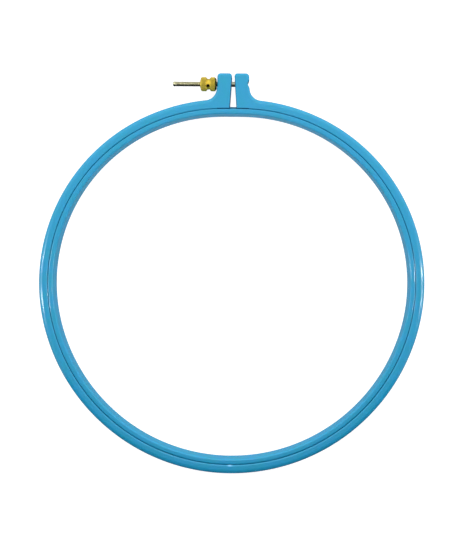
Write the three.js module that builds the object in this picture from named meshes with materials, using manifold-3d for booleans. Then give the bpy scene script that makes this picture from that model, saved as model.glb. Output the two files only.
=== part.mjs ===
// Embroidery hoop: two plastic rings that grip cloth between them. The outer ring is split at the
// top and closed by a headed screw and a brass thumb nut. Millimetres, +Z up, hoop lying flat with
// its clamp towards +Y. Angles round the rings are measured from +Y, positive towards +X.

import * as THREE from 'three';
import { mergeVertices } from 'three/addons/utils/BufferGeometryUtils.js';
import Module from 'manifold-3d';

const wasm = await Module();
wasm.setup();

const quarter = Math.PI / 2;
const fullTurn = 2 * Math.PI;
const radians = THREE.MathUtils.degToRad;

// Rings
const seamRadius = 127;            // middle of the seam between the rings, where nothing pulls them in
const ringClearance = 0.3;         // across the seam
const outerRingWidth = 6.4;        // from the seam to the outer edge
const innerRingWidth = 3.6;
const hoopHeight = 10;
const innerWallDraft = 0.2;        // the inner ring is this much thicker at its foot

// Top edges of the rings: each is a quarter of an oval that reaches in and drops this much
const outerEdgeReach = 3.3;
const outerEdgeDrop = 2.2;
const outerSeamReach = 1.2;
const outerSeamDrop = 0.7;
const innerWallReach = 1.1;
const innerWallDrop = 1.1;
const innerSeamReach = 0.9;
const innerSeamDrop = 0.9;
const footEdgeRound = 1.5;         // outer edge of the outer ring's underside
const footSeamRound = 0.5;

// Lip at the foot of the inner ring, on which the outer ring rests
const lipThickness = 1.4;
const lipReach = 2.9;              // beyond the seam
const lipEdgeRound = 0.45;
const seatClearance = 0.3;

// The closed clamp draws the rings in from a true circle
const pullDepth = 7.14;
const pullSpread = radians(106);
const pullBlend = radians(3.1);

// Lugs
const lugRise = 18.23;             // from the outer edge of the ring to the top of the lugs
const lugHalfSpan = 11.05;         // from the middle of the gap to the outer face of a lug
const gapAtTop = 1.4;
const gapAtSeam = 4.6;
const flareBelowScrew = 1.5;       // the outer faces run straight down to here, then flare
const lugFlare = radians(8);
const lugFlareBend = 10;
const lugFillet = 8.3;
const rootSwell = 0.35;            // the outer edge stands out this much more under the lugs
const rootSpan = radians(26);      // and is back on its path this far off the top
const lugOuterCorner = 2.4;
const lugGapCorner = 2.3;
const lugSeamCorner = 0.7;
const lugEdgeRound = 1.9;
const gapEdgeRound = 0.5;
const seamFadeStart = 9;           // the seam's edge grows from the lugs' edge to its own from here
const seamFadeEnd = 22;            // to here, to the side of the gap's middle

// Screw
const screwDrop = 7.1;             // from the top of the lugs to the screw's axis
const screwRadius = 1.75;
const screwLength = 50;            // under the head
const screwPointChamfer = 0.4;
const headRadius = 3.3;
const headThickness = 1.3;
const headCrown = 0.5;
const boreClearance = 0.4;
const pocketClearance = 0.65;
const pocketDepth = 3.1;

// Nut
const nutClearance = 0.3;          // to the lug and to the screw's thread
const rollRadius = 4.8;
const neckRadius = 3.6;
const collarRadius = 2.7;
const bossLength = 0.4;
const innerRollLength = 4.15;
const neckLength = 1.4;
const neckConeLength = 1.05;       // up from the neck to the outer roll
const outerRollLength = 3.9;
const collarLength = 0.35;
const rollChamfer = 0.8;
const smallChamfer = 0.25;
const knurlTeeth = 36;
const knurlDepth = 0.22;
const crossHoleRadius = 1.2;
const crossHoleTurn = radians(31); // off +Z, towards the rings

// Fineness of the faceted shapes, and of the search for where the fillets touch
const boreSides = 32;
const headSides = 40;
const pocketSides = 48;
const crossHoleSides = 24;
const ringSteps = 120;
const edgeSteps = 4;
const smallEdgeSteps = 2;
const outlineStep = radians(16);
const tangentStep = 1e-4;
const sidePasses = 12;
const filletSpan = radians(30);
const filletPasses = 40;
const mergeDistance = 1e-5;

// Sizes that follow
const outerRingFoot = lipThickness + seatClearance;
const screwHeight = (outerRingFoot + hoopHeight) / 2;
const outerRadius = seamRadius + outerRingWidth;
const outerSeamRadius = seamRadius + ringClearance / 2;
const innerSeamRadius = seamRadius - ringClearance / 2;
const innerRadius = innerSeamRadius - innerRingWidth;
const lugTop = outerRadius - clampPull(0) + lugRise;
const screwReach = lugTop - screwDrop;
const flareReach = screwReach - flareBelowScrew;
const pocketFloor = lugHalfSpan - pocketDepth;
const headSeat = pocketFloor + seatClearance;
const flareUnderNut = Math.max(0, neckRadius - flareBelowScrew) * Math.tan(lugFlare);
const nutSeat = lugHalfSpan + flareUnderNut + nutClearance;

const plastic = new THREE.MeshStandardMaterial({ color: 0x3d9dc9, roughness: 0.3, metalness: 0 });
const brass = new THREE.MeshStandardMaterial({ color: 0xc9a03a, roughness: 0.35, metalness: 1 });
const steel = new THREE.MeshStandardMaterial({ color: 0x9a9c8c, roughness: 0.35, metalness: 1 });

// Meshes and solids

function indexedGeometry(positions, triangles) {
  const geometry = new THREE.BufferGeometry();
  geometry.setAttribute('position', new THREE.Float32BufferAttribute(positions, 3));
  geometry.setIndex(triangles);
  geometry.computeVertexNormals();
  return geometry;
}

function toSolid(geometry) {
  const bare = geometry.clone();
  bare.deleteAttribute('normal');
  bare.deleteAttribute('uv');
  const merged = mergeVertices(bare, mergeDistance);
  return new wasm.Manifold(new wasm.Mesh({
    numProp: 3,
    vertProperties: new Float32Array(merged.attributes.position.array),
    triVerts: new Uint32Array(merged.index.array),
  }));
}

function toGeometry(solid) {
  const mesh = solid.getMesh();
  return indexedGeometry(Array.from(mesh.vertProperties), Array.from(mesh.triVerts));
}

// Triangles for the cells between rows of points. Each row closes on itself, and the last row may
// join the first.
function bandTriangles(rows, columns, rowsClose) {
  const triangles = [];
  const bands = rowsClose ? rows : rows - 1;
  for (let row = 0; row < bands; row++) {
    const here = row * columns;
    const there = ((row + 1) % rows) * columns;
    for (let column = 0; column < columns; column++) {
      const next = (column + 1) % columns;
      triangles.push(here + column, there + next, here + next);
      triangles.push(here + column, there + column, there + next);
    }
  }
  return triangles;
}

function capTriangles(outline, offset, facesUp) {
  const triangles = [];
  for (const [a, b, c] of THREE.ShapeUtils.triangulateShape(outline, [])) {
    const turn = outline[b].clone().sub(outline[a]).cross(outline[c].clone().sub(outline[a]));
    const ordered = (turn > 0) === facesUp ? [a, b, c] : [a, c, b];
    triangles.push(...ordered.map((index) => index + offset));
  }
  return triangles;
}

function rodAlongX(radius, from, to, sides) {
  const rod = new THREE.CylinderGeometry(radius, radius, to - from, sides);
  rod.rotateZ(-quarter);
  rod.translate((from + to) / 2, 0, 0);
  return rod;
}

// Path of the rings

// Each half of the ring is drawn in along an arc that springs from pullSpread off the top.
function clampPull(angle) {
  const offTop = Math.abs(Math.atan2(Math.sin(angle), Math.cos(angle)));
  const bent = Math.max(0, pullSpread - Math.hypot(offTop, pullBlend));
  return pullDepth * (1 - Math.cos(bent));
}

function ringPoint(radius, angle) {
  const pulled = radius - clampPull(angle);
  return new THREE.Vector2(pulled * Math.sin(angle), pulled * Math.cos(angle));
}

// The outer edge of the outer ring, and the direction straight out of it.
function outerPoint(angle) {
  const faded = (1 + Math.cos(Math.PI * Math.min(1, Math.abs(angle) / rootSpan))) / 2;
  return ringPoint(outerRadius + rootSwell * faded, angle);
}

function outerNormal(angle) {
  const along = outerPoint(angle + tangentStep).sub(outerPoint(angle - tangentStep)).normalize();
  return new THREE.Vector2(-along.y, along.x);
}

// Angle at which the path of this radius is this far to the side of the gap's middle.
function ringAngleAt(radius, side) {
  let angle = 0;
  for (let pass = 0; pass < sidePasses; pass++) {
    angle = Math.asin(side / (radius - clampPull(angle)));
  }
  return angle;
}

// Inner ring

// Quarter of an oval about a point of the section.
function sectionArc(radius, z, reach, rise, from, steps) {
  const points = [];
  for (let step = 0; step <= steps; step++) {
    const angle = from - quarter * step / steps;
    points.push([radius + reach * Math.cos(angle), z + rise * Math.sin(angle)]);
  }
  return points;
}

// Points of the section, as distance from the middle and height, from the foot of the inner wall up
// and over to the lip.
function innerRingSection() {
  const foot = innerRadius - innerWallDraft + lipEdgeRound;
  const wallTop = innerRadius + innerWallReach;
  const seamTop = innerSeamRadius - innerSeamReach;
  const lipEnd = seamRadius + lipReach - lipEdgeRound;
  const lipArc = (z, from) => sectionArc(lipEnd, z, lipEdgeRound, lipEdgeRound, from, smallEdgeSteps);
  return [
    ...sectionArc(foot, lipEdgeRound, lipEdgeRound, lipEdgeRound, -quarter, smallEdgeSteps),
    ...sectionArc(wallTop, hoopHeight - innerWallDrop, innerWallReach, innerWallDrop,
      2 * quarter, edgeSteps),
    ...sectionArc(seamTop, hoopHeight - innerSeamDrop, innerSeamReach, innerSeamDrop, quarter, edgeSteps),
    [innerSeamRadius, lipThickness],
    ...lipArc(lipThickness - lipEdgeRound, quarter),
    ...lipArc(lipEdgeRound, 0),
  ];
}

function buildInnerRing() {
  const section = innerRingSection();
  const positions = [];
  for (let step = 0; step < ringSteps; step++) {
    for (const [radius, z] of section) {
      const point = ringPoint(radius, fullTurn * step / ringSteps);
      positions.push(point.x, point.y, z);
    }
  }
  return indexedGeometry(positions, bandTriangles(ringSteps, section.length, true));
}

// Outer ring. Each point of its outline carries the form of its edges there: how far the top edge
// reaches in and drops, as a quarter of an oval, and the radius of the foot edge's rounding.

const roundEdge = (radius) => ({ reach: radius, drop: radius, foot: radius });
const outerEdge = { reach: outerEdgeReach, drop: outerEdgeDrop, foot: footEdgeRound };
const seamEdge = { reach: outerSeamReach, drop: outerSeamDrop, foot: footSeamRound };
const lugEdge = roundEdge(lugEdgeRound);
const gapEdge = roundEdge(gapEdgeRound);

function mixedEdge(first, second, share) {
  const mixed = (key) => THREE.MathUtils.lerp(first[key], second[key], share);
  return { reach: mixed('reach'), drop: mixed('drop'), foot: mixed('foot') };
}

function outlinePoint(x, y, edge) {
  return Object.assign(new THREE.Vector2(x, y), { edge });
}

function outlineArc(centre, radius, from, to, edgeFrom, edgeTo) {
  const points = [];
  const steps = Math.max(2, Math.ceil(Math.abs(to - from) / outlineStep));
  for (let step = 0; step <= steps; step++) {
    const share = step / steps;
    const angle = THREE.MathUtils.lerp(from, to, share);
    const x = centre.x + radius * Math.cos(angle);
    const y = centre.y + radius * Math.sin(angle);
    points.push(outlinePoint(x, y, mixedEdge(edgeFrom, edgeTo, share)));
  }
  return points;
}

// Arc that rounds the corner between two straight stretches.
function outlineCorner(before, corner, after, radius, edgeFrom, edgeTo) {
  const back = before.clone().sub(corner).normalize();
  const on = after.clone().sub(corner).normalize();
  const half = Math.acos(back.dot(on)) / 2;
  const centre = back.clone().add(on).normalize().multiplyScalar(radius / Math.sin(half)).add(corner);
  const start = back.multiplyScalar(radius / Math.tan(half)).add(corner).sub(centre);
  const end = on.multiplyScalar(radius / Math.tan(half)).add(corner).sub(centre);
  const from = Math.atan2(start.y, start.x);
  const sweep = Math.atan2(end.y, end.x) - from;
  const shortSweep = sweep - fullTurn * Math.round(sweep / fullTurn);
  return outlineArc(centre, radius, from, from + shortSweep, edgeFrom, edgeTo);
}

// The fillet's circle stands on the outer edge of the ring, where it also touches the lug's flare.
function lugFilletCircle(flareTop, flareNormal) {
  const circleOn = (angle) => outerPoint(angle).addScaledVector(outerNormal(angle), lugFillet);
  let inside = ringAngleAt(outerRadius, lugHalfSpan);
  let outside = inside + filletSpan;
  for (let pass = 0; pass < filletPasses; pass++) {
    const middle = (inside + outside) / 2;
    if (circleOn(middle).sub(flareTop).dot(flareNormal) > lugFillet) {
      outside = middle;
    } else {
      inside = middle;
    }
  }
  return { centre: circleOn(outside), ringAngle: outside };
}

function seamOutline(stop) {
  const points = [];
  const steps = ringSteps / 2;
  for (let step = 0; step <= steps; step++) {
    const point = ringPoint(outerSeamRadius, Math.PI + (stop - Math.PI) * step / steps);
    const faded = THREE.MathUtils.smoothstep(Math.abs(point.x), seamFadeStart, seamFadeEnd);
    points.push(outlinePoint(point.x, point.y, mixedEdge(gapEdge, seamEdge, point.y < 0 ? 1 : faded)));
  }
  return points;
}

function outerOutline(start) {
  const points = [];
  const steps = ringSteps / 2;
  for (let step = 1; step <= steps; step++) {
    const point = outerPoint(start + (Math.PI - start) * step / steps);
    points.push(outlinePoint(point.x, point.y, outerEdge));
  }
  return points;
}

// Right half: up the seam from the bottom, round the lug, and back down the outer edge.
function halfOutline() {
  const seamEnd = ringAngleAt(outerSeamRadius, gapAtSeam / 2);
  const seamStop = ringAngleAt(outerSeamRadius, gapAtSeam / 2 + 2 * lugSeamCorner);
  const gapFoot = ringPoint(outerSeamRadius, seamEnd);
  const gapTop = new THREE.Vector2(gapAtTop / 2, lugTop);
  const outerTop = new THREE.Vector2(lugHalfSpan, lugTop);
  const flareTop = new THREE.Vector2(lugHalfSpan, flareReach);
  const flareOn = new THREE.Vector2(Math.sin(lugFlare), -Math.cos(lugFlare)).add(flareTop);
  const flareNormal = new THREE.Vector2(Math.cos(lugFlare), Math.sin(lugFlare));
  const fillet = lugFilletCircle(flareTop, flareNormal);
  const onRing = outerPoint(fillet.ringAngle).sub(fillet.centre);
  const filletFrom = Math.atan2(-flareNormal.y, -flareNormal.x);
  const filletTo = Math.atan2(onRing.y, onRing.x);
  return [
    ...seamOutline(seamStop),
    ...outlineCorner(ringPoint(outerSeamRadius, seamStop), gapFoot, gapTop, lugSeamCorner,
      gapEdge, gapEdge),
    ...outlineCorner(gapFoot, gapTop, outerTop, lugGapCorner, gapEdge, lugEdge),
    ...outlineCorner(gapTop, outerTop, flareTop, lugOuterCorner, lugEdge, lugEdge),
    ...outlineCorner(outerTop, flareTop, flareOn, lugFlareBend, lugEdge, lugEdge),
    ...outlineArc(fillet.centre, lugFillet, filletFrom, filletTo, lugEdge, outerEdge),
    ...outerOutline(fillet.ringAngle),
  ];
}

function splitRingOutline() {
  const half = halfOutline();
  const mirrored = half.slice(1, -1).reverse().map((point) => outlinePoint(-point.x, point.y, point.edge));
  return [...half, ...mirrored];
}

// Outward step that moves both neighbouring sides of an outline point out by one millimetre.
function outwardSteps(outline) {
  return outline.map((point, index) => {
    const before = outline.at(index - 1);
    const after = outline[(index + 1) % outline.length];
    const arrive = new THREE.Vector2(before.y - point.y, point.x - before.x).normalize();
    const leave = new THREE.Vector2(point.y - after.y, after.x - point.x).normalize();
    return arrive.clone().add(leave).divideScalar(1 + arrive.dot(leave));
  });
}

// A plate of this outline, stacked up in layers that are drawn in as its edges turn.
function edgedPlate(outline, foot, top) {
  const outward = outwardSteps(outline);
  const layers = [];
  const addLayer = (turn, reach, height) => {
    layers.push(outline.map((point, index) => {
      const inset = reach(point.edge) * (1 - Math.cos(turn));
      const place = new THREE.Vector2(point.x, point.y).addScaledVector(outward[index], -inset);
      return Object.assign(place, { z: height(point.edge, 1 - Math.sin(turn)) });
    }));
  };
  for (let step = edgeSteps; step >= 0; step--) {
    addLayer(quarter * step / edgeSteps, (edge) => edge.foot, (edge, share) => foot + edge.foot * share);
  }
  for (let step = 0; step <= edgeSteps; step++) {
    addLayer(quarter * step / edgeSteps, (edge) => edge.reach, (edge, share) => top - edge.drop * share);
  }
  const positions = layers.flat().flatMap((place) => [place.x, place.y, place.z]);
  return indexedGeometry(positions, [
    ...bandTriangles(layers.length, outline.length, false),
    ...capTriangles(layers[0], 0, false),
    ...capTriangles(layers.at(-1), (layers.length - 1) * outline.length, true),
  ]);
}

function buildOuterRing() {
  const bore = rodAlongX(screwRadius + boreClearance, -2 * lugHalfSpan, 2 * lugHalfSpan, boreSides);
  const pocket = rodAlongX(headRadius + pocketClearance, pocketFloor, 2 * lugHalfSpan, pocketSides);
  bore.translate(0, screwReach, screwHeight);
  pocket.translate(0, screwReach, screwHeight);
  const plate = edgedPlate(splitRingOutline(), outerRingFoot, hoopHeight);
  return toGeometry(toSolid(plate).subtract(toSolid(bore)).subtract(toSolid(pocket)));
}

// Screw, along X with its head towards +X

function buildScrew() {
  const tip = headSeat - screwLength;
  const headTop = headSeat + headThickness;
  const profile = [
    new THREE.Vector2(0, tip),
    new THREE.Vector2(screwRadius - screwPointChamfer, tip),
    new THREE.Vector2(screwRadius, tip + screwPointChamfer),
    new THREE.Vector2(screwRadius, headSeat),
    new THREE.Vector2(headRadius, headSeat),
  ];
  for (let step = 0; step <= edgeSteps; step++) {
    const angle = quarter * step / edgeSteps;
    const radius = step === edgeSteps ? 0 : headRadius * Math.cos(angle);
    profile.push(new THREE.Vector2(radius, headTop - headCrown * (1 - Math.sin(angle))));
  }
  const screw = new THREE.LatheGeometry(profile, headSides);
  screw.rotateZ(-quarter);
  return screw;
}

// Nut, along X with its boss at the origin and the rest towards -X

function nutStations() {
  const rollEdge = rollRadius - rollChamfer;
  const innerRollEnd = bossLength + innerRollLength;
  const neckEnd = innerRollEnd + neckLength;
  const outerRollStart = neckEnd + neckConeLength;
  const outerRollEnd = outerRollStart + outerRollLength;
  const nutEnd = outerRollEnd + collarLength;
  const bore = screwRadius + nutClearance;
  return [
    { along: 0, radius: bore },
    { along: 0, radius: neckRadius - smallChamfer },
    { along: smallChamfer, radius: neckRadius },
    { along: bossLength, radius: neckRadius },
    { along: bossLength, radius: rollEdge },
    { along: bossLength + rollChamfer, radius: rollRadius, knurled: true },
    { along: innerRollEnd - rollChamfer, radius: rollRadius, knurled: true },
    { along: innerRollEnd, radius: rollEdge },
    { along: innerRollEnd, radius: neckRadius },
    { along: neckEnd, radius: neckRadius },
    { along: outerRollStart, radius: rollRadius - smallChamfer },
    { along: outerRollStart + smallChamfer, radius: rollRadius, knurled: true },
    { along: outerRollEnd - rollChamfer, radius: rollRadius, knurled: true },
    { along: outerRollEnd, radius: rollEdge },
    { along: outerRollEnd, radius: collarRadius },
    { along: nutEnd, radius: collarRadius - smallChamfer },
    { along: nutEnd, radius: bore },
  ];
}

function buildNut() {
  const stations = nutStations();
  const sides = 2 * knurlTeeth;
  const positions = [];
  for (const { along, radius, knurled } of stations) {
    for (let side = 0; side < sides; side++) {
      const angle = fullTurn * side / sides;
      const cut = knurled && side % 2 === 1 ? radius - knurlDepth : radius;
      positions.push(-along, cut * Math.cos(angle), cut * Math.sin(angle));
    }
  }
  const body = indexedGeometry(positions, bandTriangles(stations.length, sides, true));
  const hole = new THREE.CylinderGeometry(
    crossHoleRadius, crossHoleRadius, 2 * rollRadius, crossHoleSides);
  hole.rotateX(quarter - crossHoleTurn);
  hole.translate(-(bossLength + innerRollLength + (neckLength + neckConeLength) / 2), 0, 0);
  return toGeometry(toSolid(body).subtract(toSolid(hole)));
}

// Assembly

function piece(name, geometry, material) {
  const mesh = new THREE.Mesh(geometry, material);
  mesh.name = name;
  return mesh;
}

const clamp = new THREE.Group();
clamp.position.set(0, screwReach, screwHeight);
clamp.add(piece('clamp_screw', buildScrew(), steel));

const nut = piece('clamp_nut', buildNut(), brass);
nut.position.x = -nutSeat;
clamp.add(nut);

// The origin lies under the middle of the hoop's whole length, lugs included.
const hoop = new THREE.Group();
hoop.position.y = (outerRadius - lugTop) / 2;
hoop.add(piece('inner_ring', buildInnerRing(), plastic));
hoop.add(piece('outer_ring', buildOuterRing(), plastic));
hoop.add(clamp);

export default hoop;
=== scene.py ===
import math

import bmesh
import bpy
import numpy as np
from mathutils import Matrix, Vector
from mathutils.geometry import tessellate_polygon


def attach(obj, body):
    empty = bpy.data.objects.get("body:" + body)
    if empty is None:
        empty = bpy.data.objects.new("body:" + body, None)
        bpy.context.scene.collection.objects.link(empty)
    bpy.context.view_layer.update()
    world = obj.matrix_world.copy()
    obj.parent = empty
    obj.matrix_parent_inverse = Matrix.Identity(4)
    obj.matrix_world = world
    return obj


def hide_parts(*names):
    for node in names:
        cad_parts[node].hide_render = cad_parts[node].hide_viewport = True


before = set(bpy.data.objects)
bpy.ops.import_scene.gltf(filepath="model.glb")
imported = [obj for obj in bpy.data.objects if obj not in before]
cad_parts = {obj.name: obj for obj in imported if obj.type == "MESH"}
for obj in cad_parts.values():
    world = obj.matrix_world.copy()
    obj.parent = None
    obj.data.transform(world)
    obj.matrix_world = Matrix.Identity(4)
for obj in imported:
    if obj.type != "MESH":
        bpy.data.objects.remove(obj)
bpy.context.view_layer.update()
print("frame loaded:", ", ".join(sorted(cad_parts)))

mm = 0.001
quarter = math.pi / 2
fullTurn = 2 * math.pi


# Layout shared by all pieces, from the middle of the rings. Angles round the rings are measured from
# +Y, positive towards +X. Lengths are in millimetres, except in looks, in lamps and where a comment
# says metres.
layout = {
    "seamRadius": 127.0,               # middle of the seam, where nothing pulls the rings in
    "seamGap": 0.12,                   # the solids keep 0.3
    "outerRadius": 133.4,
    "innerRadius": 123.25,
    "top": 10.0,
    "outerFoot": 1.7,                  # underside of the outer ring
    "pullDepth": 7.14,                 # the closed clamp draws the rings in from a true circle
    "pullSpread": math.radians(106),
    "pullBlend": math.radians(3.1),
    "lugRise": 18.23,
    "screwDrop": 7.1,
}


# pull = depth * (1 - cos(bent)), where bent is how far an angle lies inside the spread
def clampPull(angle):
    offTop = np.abs(np.arctan2(np.sin(angle), np.cos(angle)))
    bent = np.maximum(0.0, layout["pullSpread"] - np.hypot(offTop, layout["pullBlend"]))
    return layout["pullDepth"] * (1.0 - np.cos(bent))


# x = (radius - pull) * sin(angle), y = (radius - pull) * cos(angle)
def ringPlace(radius, angle):
    pulled = radius - clampPull(angle)
    return pulled * np.sin(angle), pulled * np.cos(angle)


lugTop = layout["outerRadius"] - float(clampPull(0.0)) + layout["lugRise"]
ringY = (layout["outerRadius"] - lugTop) / 2
screwReach = lugTop - layout["screwDrop"]
screwY = screwReach + ringY
screwZ = (layout["outerFoot"] + layout["top"]) / 2


# Limits of the mesh tools, in metres
meshTools = {
    "weld": 2e-7,                      # points closer than this become one
    "sliver": 1e-7,                    # edges shorter than this are dissolved
}


# Quads between neighbouring rows and columns of a grid of points
def gridFaces(rows, columns, closeRows, closeColumns):
    index = np.arange(rows * columns).reshape(rows, columns)
    if closeRows:
        index = np.vstack([index, index[:1]])
    if closeColumns:
        index = np.hstack([index, index[:, :1]])
    corners = [index[:-1, :-1], index[1:, :-1], index[1:, 1:], index[:-1, 1:]]
    return np.stack(corners, -1).reshape(-1, 4)


def newObject(name, points, faces):
    mesh = bpy.data.meshes.new(name)
    mesh.from_pydata(points * mm, [], faces)
    piece = bpy.data.objects.new(name, mesh)
    bpy.context.scene.collection.objects.link(piece)
    return piece


def storeValue(piece, name, values):
    field = piece.data.attributes.new(name, "FLOAT", "POINT")
    field.data.foreach_set("value", np.ascontiguousarray(values, dtype=np.float32).ravel())


# Closes poles and seams, turns the faces outwards, and keeps edges over the angle sharp
def finishMesh(piece, sharpDegrees):
    tools = bmesh.new()
    tools.from_mesh(piece.data)
    bmesh.ops.remove_doubles(tools, verts=tools.verts, dist=meshTools["weld"])
    bmesh.ops.dissolve_degenerate(tools, edges=tools.edges, dist=meshTools["sliver"])
    bmesh.ops.recalc_face_normals(tools, faces=tools.faces)
    for face in tools.faces:
        face.smooth = True
    tools.to_mesh(piece.data)
    tools.free()
    piece.data.set_sharp_from_angle(angle=math.radians(sharpDegrees))


# Cuts the cutter out of the piece and throws the cutter away
def cutAway(piece, cutter):
    cut = piece.modifiers.new("cut", "BOOLEAN")
    cut.operation, cut.solver, cut.object = "DIFFERENCE", "EXACT", cutter
    dressed = piece.evaluated_get(bpy.context.evaluated_depsgraph_get())
    mesh = bpy.data.meshes.new_from_object(dressed)
    piece.modifiers.remove(cut)
    old = piece.data
    piece.data = mesh
    mesh.name = piece.name
    bpy.data.meshes.remove(old)
    bpy.data.objects.remove(cutter)


# Corner points (a, b, radius) joined by straight sides. Each corner between the two ends becomes an
# arc that touches both its sides, and a radius of 0 keeps the corner.
def roundedCorners(corners, steps):
    places = np.array([corner[:2] for corner in corners], float)
    ends = (0, len(corners) - 1)
    parts = []
    for index, (_, _, radius) in enumerate(corners):
        here = places[index]
        if radius == 0 or index in ends:
            parts.append(here[None])
            continue
        back, on = places[index - 1] - here, places[index + 1] - here
        back /= np.linalg.norm(back)
        on /= np.linalg.norm(on)
        half = math.acos(np.clip(back @ on, -1, 1)) / 2
        middle = (back + on) / np.linalg.norm(back + on) * radius / math.sin(half)
        start = back * radius / math.tan(half) - middle
        end = on * radius / math.tan(half) - middle
        first = math.atan2(start[1], start[0])
        sweep = math.remainder(math.atan2(end[1], end[0]) - first, fullTurn)
        turn = first + sweep * np.linspace(0, 1, steps + 1)
        parts.append(here + middle + radius * np.stack([np.cos(turn), np.sin(turn)], -1))
    return np.concatenate(parts)


# Top between two sides, each edge (reach, drop) a quarter of an oval
def topPoints(first, last, top, firstEdge, lastEdge, steps):
    turn = np.linspace(0, quarter, steps + 1)
    away, below = 1 - np.cos(turn), 1 - np.sin(turn)
    up = np.stack([first + firstEdge[0] * away, top - firstEdge[1] * below], -1)
    down = np.stack([last - lastEdge[0] * away, top - lastEdge[1] * below], -1)
    return np.concatenate([up, down[::-1]])


# Points are spread between the corners until no step is longer than the limit
def refined(points, limit):
    parts = []
    for here, there in zip(points[:-1], points[1:]):
        count = max(1, math.ceil(np.linalg.norm(there - here) / limit))
        parts.append(here + (there - here) * (np.arange(count) / count)[:, None])
    return np.concatenate([*parts, points[-1:]])


def circleAngles(sides):
    return np.linspace(0, fullTurn, sides, endpoint=False)


# x = along, y = radius * cos(turn), z = radius * sin(turn), about the clamp's axis
def turnedPoints(along, radius, turn):
    x = along[:, None] + 0 * radius
    y = radius * np.cos(turn) + screwY
    z = radius * np.sin(turn) + screwZ
    return np.stack([x, y, z], -1).reshape(-1, 3)


# first * cos(angle) - second * sin(angle), and first * sin(angle) + second * cos(angle)
def turnedPair(first, second, angle):
    cosine, sine = math.cos(angle), math.sin(angle)
    return first * cosine - second * sine, first * sine + second * cosine


# value^2 * (3 - 2 * value), with the value held between 0 and 1
def smoothStep(value):
    value = np.clip(value, 0, 1)
    return value * value * (3 - 2 * value)


# A node's socket takes a link from another one, or a value of its own
def fillSocket(tree, socket, value):
    if isinstance(value, bpy.types.NodeSocket):
        tree.links.new(value, socket)
    else:
        socket.default_value = value


def addNode(tree, kind, values=(), **settings):
    node = tree.nodes.new(kind)
    for key, value in settings.items():
        setattr(node, key, value)
    for socket, value in dict(values).items():
        fillSocket(tree, node.inputs[socket], value)
    return node


def startMaterial(name, values):
    material = bpy.data.materials.new(name)
    material.use_nodes = True
    tree = material.node_tree
    shader = tree.nodes["Principled BSDF"]
    for socket, value in values.items():
        shader.inputs[socket].default_value = value
    return material, tree, shader


def noiseOf(tree, vector, scale, detail, roughness=0.5):
    return addNode(tree, "ShaderNodeTexNoise", {
        "Vector": vector, "Scale": scale, "Detail": detail, "Roughness": roughness}).outputs[0]


def mathOf(tree, operation, first, second):
    return addNode(tree, "ShaderNodeMath", {0: first, 1: second}, operation=operation).outputs[0]


# Noise lies between about 0.3 and 0.7, which the range starts from unless told otherwise
def rangeOf(tree, value, low, high, fromLow=0.3, fromHigh=0.7):
    return addNode(tree, "ShaderNodeMapRange", {
        "Value": value, "From Min": fromLow, "From Max": fromHigh,
        "To Min": low, "To Max": high}).outputs["Result"]


def mixOf(tree, share, first, second):
    node = addNode(tree, "ShaderNodeMix", data_type="RGBA")
    for socket, value in ((0, share), (6, first), (7, second)):    # colour sockets share their names
        fillSocket(tree, node.inputs[socket], value)
    return node.outputs[2]


def stretchOf(tree, vector, stretch):
    return addNode(tree, "ShaderNodeVectorMath", {0: vector, 1: stretch}, operation="MULTIPLY").outputs[0]


def storedOn(tree, name):
    return addNode(tree, "ShaderNodeAttribute", attribute_name=name).outputs["Fac"]


def bumpOf(tree, height, distance, **under):
    return addNode(tree, "ShaderNodeBump", {
        "Height": height, "Distance": distance, "Strength": 1.0, **under}).outputs[0]


# Material: glossy moulded plastic. The colour drifts a little, painted shade darkens it between close
# walls and on the walls of the gap and the bore, where the shine is also weaker, and a painted
# highlight lies on the seam's edge at the bottom. The gloss is uneven, the skin has the faint dimples
# of a mould, wiping has left fine marks round the rings, and edges are rubbed. Noise is given as
# scale, detail and roughness, depths in metres.
plasticLook = {
    "colour": (0.013, 0.281, 0.440, 1),
    "drift": (0.017, 0.268, 0.498, 1),
    "rubbed": (0.030, 0.335, 0.560, 1),
    # painted shade, for hollows and for the walls of the gap and the bore
    "paintedShade": (0.002, 0.090, 0.190, 1),
    "paintedGlint": (0.20, 0.62, 0.92, 1),     # painted highlight
    "values": {"IOR": 1.49},
    "gloss": (0.09, 0.16),
    "markGloss": 0.05,                 # rougher by up to this in the wiping marks
    "driftNoise": (110.0, 3.0),
    "wearNoise": (210.0, 4.0, 0.6),
    "wearShare": 0.5,
    "waveNoise": (95.0, 1.0),
    "dimpleNoise": (1300.0, 2.0),
    "markNoise": (1.0, 1.0),
    "markStretch": (9.0, 5200.0, 5200.0),    # round the rings, and across them
    "waveDepth": 0.00004,
    "dimpleDepth": 0.000003,
    "markDepth": 0.0000015,
    "shadeReach": (0.006, 0.0010),      # how near a wall of its own, or of any piece, brings on the painted shade
    "shadeSamples": 8,
    "shadeMix": (0.3, 1.0, 0.35, 0.92),       # its own colour's share against the painted shade, and the openness that this spans
    "hollowShine": (0.05, 0.5, 0.40, 0.85),  # specular level, lowered in hollows as painted shade, and the openness that this spans
}


# (turn round the rings, distance from their middle, height). The turn is measured from the bottom,
# so that it jumps at the gap.
def aroundRings(tree, place):
    split = addNode(tree, "ShaderNodeSeparateXYZ", {"Vector": place}).outputs
    fromMiddle = mathOf(tree, "ADD", split["Y"], -ringY * mm)
    backwards = mathOf(tree, "MULTIPLY", fromMiddle, -1.0)
    angle = mathOf(tree, "ARCTAN2", split["X"], backwards)
    flat = addNode(tree, "ShaderNodeCombineXYZ", {"X": split["X"], "Y": fromMiddle}).outputs[0]
    reach = addNode(tree, "ShaderNodeVectorMath", {0: flat}, operation="LENGTH").outputs["Value"]
    return addNode(tree, "ShaderNodeCombineXYZ", {"X": angle, "Y": reach, "Z": split["Z"]}).outputs[0]


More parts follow.
